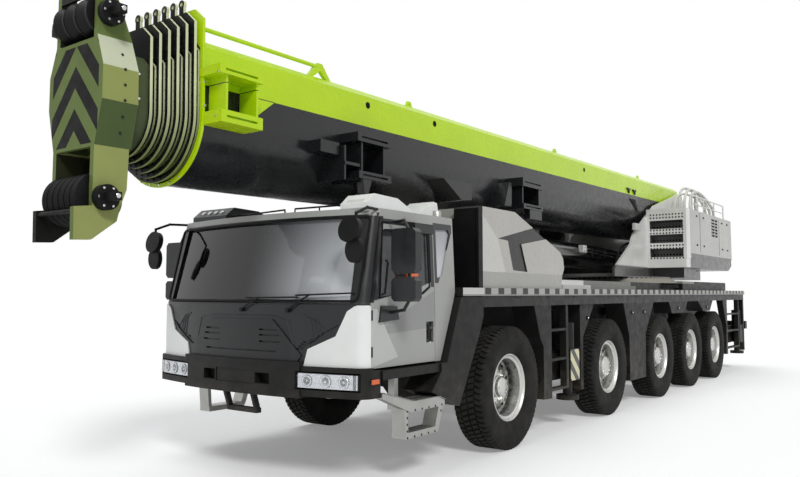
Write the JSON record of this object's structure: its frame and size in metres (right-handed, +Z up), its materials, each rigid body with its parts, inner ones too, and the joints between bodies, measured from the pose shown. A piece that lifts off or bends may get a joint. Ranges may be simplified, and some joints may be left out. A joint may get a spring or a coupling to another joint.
{
  "type": "mobile crane",
  "caption": "Road-going telescopic crane on steered axles, with a slewing superstructure, luffing boom, sliding outrigger beams and a driver's cab.",
  "frame": {"origin": "on the ground, at the middle of the vehicle's length and width", "axes": "+Z up, the vehicle drives towards -Y, +X is its left side"},
  "size_m": [3.52, 16.4677, 4.2174],
  "materials": {
    "frame_paint": "satin",
    "deck_plate": "satin",
    "axle_iron": "matte",
    "tyre": "matte",
    "cab_paint": "gloss",
    "housing_paint": "gloss",
    "dark_plastic": "matte",
    "interior": "matte",
    "glass": "gloss",
    "step_alloy": "satin",
    "upper_paint": "gloss",
    "boom_lime": "gloss",
    "boom_dark": "satin",
    "boom_olive": "satin",
    "sheave_dark": "matte",
    "rod_chrome": "polished",
    "steel": "satin"
  },
  "bodies": {
    "chassis": {"chassis_frame": "frame_paint", "deck": "deck_plate", "side_frames": "frame_paint", "axles": "axle_iron", "engine": "axle_iron", "engine_housing": "housing_paint", "intake_tower": "dark_plastic", "bumpers": "dark_plastic", "cab_shell": "cab_paint", "cab_glass": "glass", "cab_interior": "interior", "front_mirrors": "dark_plastic", "cab_steps": "step_alloy"},
    "door_left": {"door_left": "cab_paint", "door_glass_left": "glass"},
    "door_right": {"door_right": "cab_paint", "door_glass_right": "glass"},
    "outrigger_beam_front_left": {"outrigger_beam_front_left": "frame_paint"},
    "jack_front_left": {"jack_front_left": "steel"},
    "outrigger_beam_front_right": {"outrigger_beam_front_right": "frame_paint"},
    "jack_front_right": {"jack_front_right": "steel"},
    "outrigger_beam_rear_left": {"outrigger_beam_rear_left": "frame_paint"},
    "jack_rear_left": {"jack_rear_left": "steel"},
    "outrigger_beam_rear_right": {"outrigger_beam_rear_right": "frame_paint"},
    "jack_rear_right": {"jack_rear_right": "steel"},
    "knuckle_1_left": {"knuckle_1_left": "axle_iron"},
    "wheel_1_left": {"wheel_1_left": "tyre"},
    "knuckle_1_right": {"knuckle_1_right": "axle_iron"},
    "wheel_1_right": {"wheel_1_right": "tyre"},
    "knuckle_2_left": {"knuckle_2_left": "axle_iron"},
    "wheel_2_left": {"wheel_2_left": "tyre"},
    "knuckle_2_right": {"knuckle_2_right": "axle_iron"},
    "wheel_2_right": {"wheel_2_right": "tyre"},
    "wheel_3_left": {"wheel_3_left": "tyre"},
    "wheel_3_right": {"wheel_3_right": "tyre"},
    "knuckle_4_left": {"knuckle_4_left": "axle_iron"},
    "wheel_4_left": {"wheel_4_left": "tyre"},
    "knuckle_4_right": {"knuckle_4_right": "axle_iron"},
    "wheel_4_right": {"wheel_4_right": "tyre"},
    "knuckle_5_left": {"knuckle_5_left": "axle_iron"},
    "wheel_5_left": {"wheel_5_left": "tyre"},
    "knuckle_5_right": {"knuckle_5_right": "axle_iron"},
    "wheel_5_right": {"wheel_5_right": "tyre"},
    "upper": {"turntable": "upper_paint", "tail_hoods": "upper_paint", "operator_cab": "cab_paint", "operator_glass": "glass", "winch": "steel"},
    "operator_door": {"operator_door": "dark_plastic"},
    "boom_base": {"boom_base": "boom_lime"},
    "boom_section_2": {"boom_section_2": "boom_olive"},
    "boom_section_3": {"boom_section_3": "boom_olive"},
    "boom_section_4": {"boom_section_4": "boom_olive"},
    "boom_section_5": {"boom_section_5": "boom_olive"},
    "boom_section_6": {"boom_section_6": "boom_olive"},
    "boom_section_7": {"boom_section_7": "boom_olive", "boom_head": "boom_olive", "sheaves": "sheave_dark"},
    "cylinder_barrel": {"cylinder_barrel": "boom_dark"},
    "cylinder_rod": {"cylinder_rod": "rod_chrome"}
  },
  "joints": [
    {"name": "door_left_hinge", "type": "hinge", "parent": "chassis", "child": "door_left", "pos_m": [1.411, -6.054, 1.7], "axis": [0, 0, -1], "range_deg": [0, 70]},
    {"name": "door_right_hinge", "type": "hinge", "parent": "chassis", "child": "door_right", "pos_m": [-1.411, -6.054, 1.7], "axis": [0, 0, 1], "range_deg": [0, 70]},
    {"name": "outrigger_beam_front_left_slide", "type": "slide", "parent": "chassis", "child": "outrigger_beam_front_left", "axis": [1, 0, 0], "range_m": [0, 2]},
    {"name": "jack_front_left_slide", "type": "slide", "parent": "outrigger_beam_front_left", "child": "jack_front_left", "axis": [0, 0, -1], "range_m": [0, 0.5]},
    {"name": "outrigger_beam_front_right_slide", "type": "slide", "parent": "chassis", "child": "outrigger_beam_front_right", "axis": [-1, 0, 0], "range_m": [0, 2]},
    {"name": "jack_front_right_slide", "type": "slide", "parent": "outrigger_beam_front_right", "child": "jack_front_right", "axis": [0, 0, -1], "range_m": [0, 0.5]},
    {"name": "outrigger_beam_rear_left_slide", "type": "slide", "parent": "chassis", "child": "outrigger_beam_rear_left", "axis": [1, 0, 0], "range_m": [0, 2]},
    {"name": "jack_rear_left_slide", "type": "slide", "parent": "outrigger_beam_rear_left", "child": "jack_rear_left", "axis": [0, 0, -1], "range_m": [0, 0.5]},
    {"name": "outrigger_beam_rear_right_slide", "type": "slide", "parent": "chassis", "child": "outrigger_beam_rear_right", "axis": [-1, 0, 0], "range_m": [0, 2]},
    {"name": "jack_rear_right_slide", "type": "slide", "parent": "outrigger_beam_rear_right", "child": "jack_rear_right", "axis": [0, 0, -1], "range_m": [0, 0.5]},
    {"name": "steer_1_left", "type": "hinge", "parent": "chassis", "child": "knuckle_1_left", "pos_m": [1.02, -3.64, 0.685], "axis": [0, 0, 1], "range_deg": [-32, 32]},
    {"name": "wheel_1_left_spin", "type": "hinge", "parent": "knuckle_1_left", "child": "wheel_1_left", "pos_m": [1.307, -3.64, 0.685], "axis": [1, 0, 0], "continuous": true},
    {"name": "steer_1_right", "type": "hinge", "parent": "chassis", "child": "knuckle_1_right", "pos_m": [-1.02, -3.64, 0.685], "axis": [0, 0, 1], "range_deg": [-32, 32]},
    {"name": "wheel_1_right_spin", "type": "hinge", "parent": "knuckle_1_right", "child": "wheel_1_right", "pos_m": [-1.307, -3.64, 0.685], "axis": [1, 0, 0], "continuous": true},
    {"name": "steer_2_left", "type": "hinge", "parent": "chassis", "child": "knuckle_2_left", "pos_m": [1.02, -0.653, 0.685], "axis": [0, 0, 1], "range_deg": [-14.3, 14.3]},
    {"name": "wheel_2_left_spin", "type": "hinge", "parent": "knuckle_2_left", "child": "wheel_2_left", "pos_m": [1.307, -0.653, 0.685], "axis": [1, 0, 0], "continuous": true},
    {"name": "steer_2_right", "type": "hinge", "parent": "chassis", "child": "knuckle_2_right", "pos_m": [-1.02, -0.653, 0.685], "axis": [0, 0, 1], "range_deg": [-14.3, 14.3]},
    {"name": "wheel_2_right_spin", "type": "hinge", "parent": "knuckle_2_right", "child": "wheel_2_right", "pos_m": [-1.307, -0.653, 0.685], "axis": [1, 0, 0], "continuous": true},
    {"name": "wheel_3_left_spin", "type": "hinge", "parent": "chassis", "child": "wheel_3_left", "pos_m": [1.307, 1.701, 0.685], "axis": [1, 0, 0], "continuous": true},
    {"name": "wheel_3_right_spin", "type": "hinge", "parent": "chassis", "child": "wheel_3_right", "pos_m": [-1.307, 1.701, 0.685], "axis": [1, 0, 0], "continuous": true},
    {"name": "steer_4_left", "type": "hinge", "parent": "chassis", "child": "knuckle_4_left", "pos_m": [1.02, 3.523, 0.685], "axis": [0, 0, 1], "range_deg": [-11.1, 11.1]},
    {"name": "wheel_4_left_spin", "type": "hinge", "parent": "knuckle_4_left", "child": "wheel_4_left", "pos_m": [1.307, 3.523, 0.685], "axis": [1, 0, 0], "continuous": true},
    {"name": "steer_4_right", "type": "hinge", "parent": "chassis", "child": "knuckle_4_right", "pos_m": [-1.02, 3.523, 0.685], "axis": [0, 0, 1], "range_deg": [-11.1, 11.1]},
    {"name": "wheel_4_right_spin", "type": "hinge", "parent": "knuckle_4_right", "child": "wheel_4_right", "pos_m": [-1.307, 3.523, 0.685], "axis": [1, 0, 0], "continuous": true},
    {"name": "steer_5_left", "type": "hinge", "parent": "chassis", "child": "knuckle_5_left", "pos_m": [1.02, 5.255, 0.685], "axis": [0, 0, 1], "range_deg": [-21.5, 21.5]},
    {"name": "wheel_5_left_spin", "type": "hinge", "parent": "knuckle_5_left", "child": "wheel_5_left", "pos_m": [1.307, 5.255, 0.685], "axis": [1, 0, 0], "continuous": true},
    {"name": "steer_5_right", "type": "hinge", "parent": "chassis", "child": "knuckle_5_right", "pos_m": [-1.02, 5.255, 0.685], "axis": [0, 0, 1], "range_deg": [-21.5, 21.5]},
    {"name": "wheel_5_right_spin", "type": "hinge", "parent": "knuckle_5_right", "child": "wheel_5_right", "pos_m": [-1.307, 5.255, 0.685], "axis": [1, 0, 0], "continuous": true},
    {"name": "slew", "type": "hinge", "parent": "chassis", "child": "upper", "pos_m": [0, 3.36, 2], "axis": [0, 0, 1], "continuous": true},
    {"name": "operator_door_slide", "type": "slide", "parent": "upper", "child": "operator_door", "axis": [0, 1, 0], "range_m": [0, 0.6]},
    {"name": "luff", "type": "hinge", "parent": "upper", "child": "boom_base", "pos_m": [0, 5.46, 3.4], "axis": [-1, 0, 0], "range_deg": [0, 80]},
    {"name": "telescope_2", "type": "slide", "parent": "boom_base", "child": "boom_section_2", "axis": [0, -0.9999, -0.0157], "range_m": [0, 10]},
    {"name": "telescope_3", "type": "slide", "parent": "boom_section_2", "child": "boom_section_3", "axis": [0, -0.9999, -0.0157], "range_m": [0, 10]},
    {"name": "telescope_4", "type": "slide", "parent": "boom_section_3", "child": "boom_section_4", "axis": [0, -0.9999, -0.0157], "range_m": [0, 10]},
    {"name": "telescope_5", "type": "slide", "parent": "boom_section_4", "child": "boom_section_5", "axis": [0, -0.9999, -0.0157], "range_m": [0, 10]},
    {"name": "telescope_6", "type": "slide", "parent": "boom_section_5", "child": "boom_section_6", "axis": [0, -0.9999, -0.0157], "range_m": [0, 10]},
    {"name": "telescope_7", "type": "slide", "parent": "boom_section_6", "child": "boom_section_7", "axis": [0, -0.9999, -0.0157], "range_m": [0, 10]},
    {"name": "cylinder_swing", "type": "hinge", "parent": "upper", "child": "cylinder_barrel", "pos_m": [0, 3.76, 2.4], "axis": [-1, 0, 0], "range_deg": [0, 86]},
    {"name": "cylinder_stroke", "type": "slide", "parent": "cylinder_barrel", "child": "cylinder_rod", "axis": [0, -0.9999, 0.0148], "range_m": [0, 2.454]}
  ],
  "couplings": [
    {"joint": "steer_1_right", "follows": "steer_1_left", "ratio": 1},
    {"joint": "steer_2_left", "follows": "steer_1_left", "ratio": 0.4407},
    {"joint": "steer_2_right", "follows": "steer_1_left", "ratio": 0.4407},
    {"joint": "steer_4_left", "follows": "steer_1_left", "ratio": -0.3411},
    {"joint": "steer_4_right", "follows": "steer_1_left", "ratio": -0.3411},
    {"joint": "steer_5_left", "follows": "steer_1_left", "ratio": -0.6654},
    {"joint": "steer_5_right", "follows": "steer_1_left", "ratio": -0.6654},
    {"joint": "telescope_3", "follows": "telescope_2", "ratio": 1},
    {"joint": "telescope_4", "follows": "telescope_2", "ratio": 1},
    {"joint": "telescope_5", "follows": "telescope_2", "ratio": 1},
    {"joint": "telescope_6", "follows": "telescope_2", "ratio": 1},
    {"joint": "telescope_7", "follows": "telescope_2", "ratio": 1},
    {"joint": "cylinder_swing", "follows": "luff", "ratio": 1.0743},
    {"joint": "cylinder_stroke", "follows": "luff", "m_per_rad": 1.7504}
  ]
}
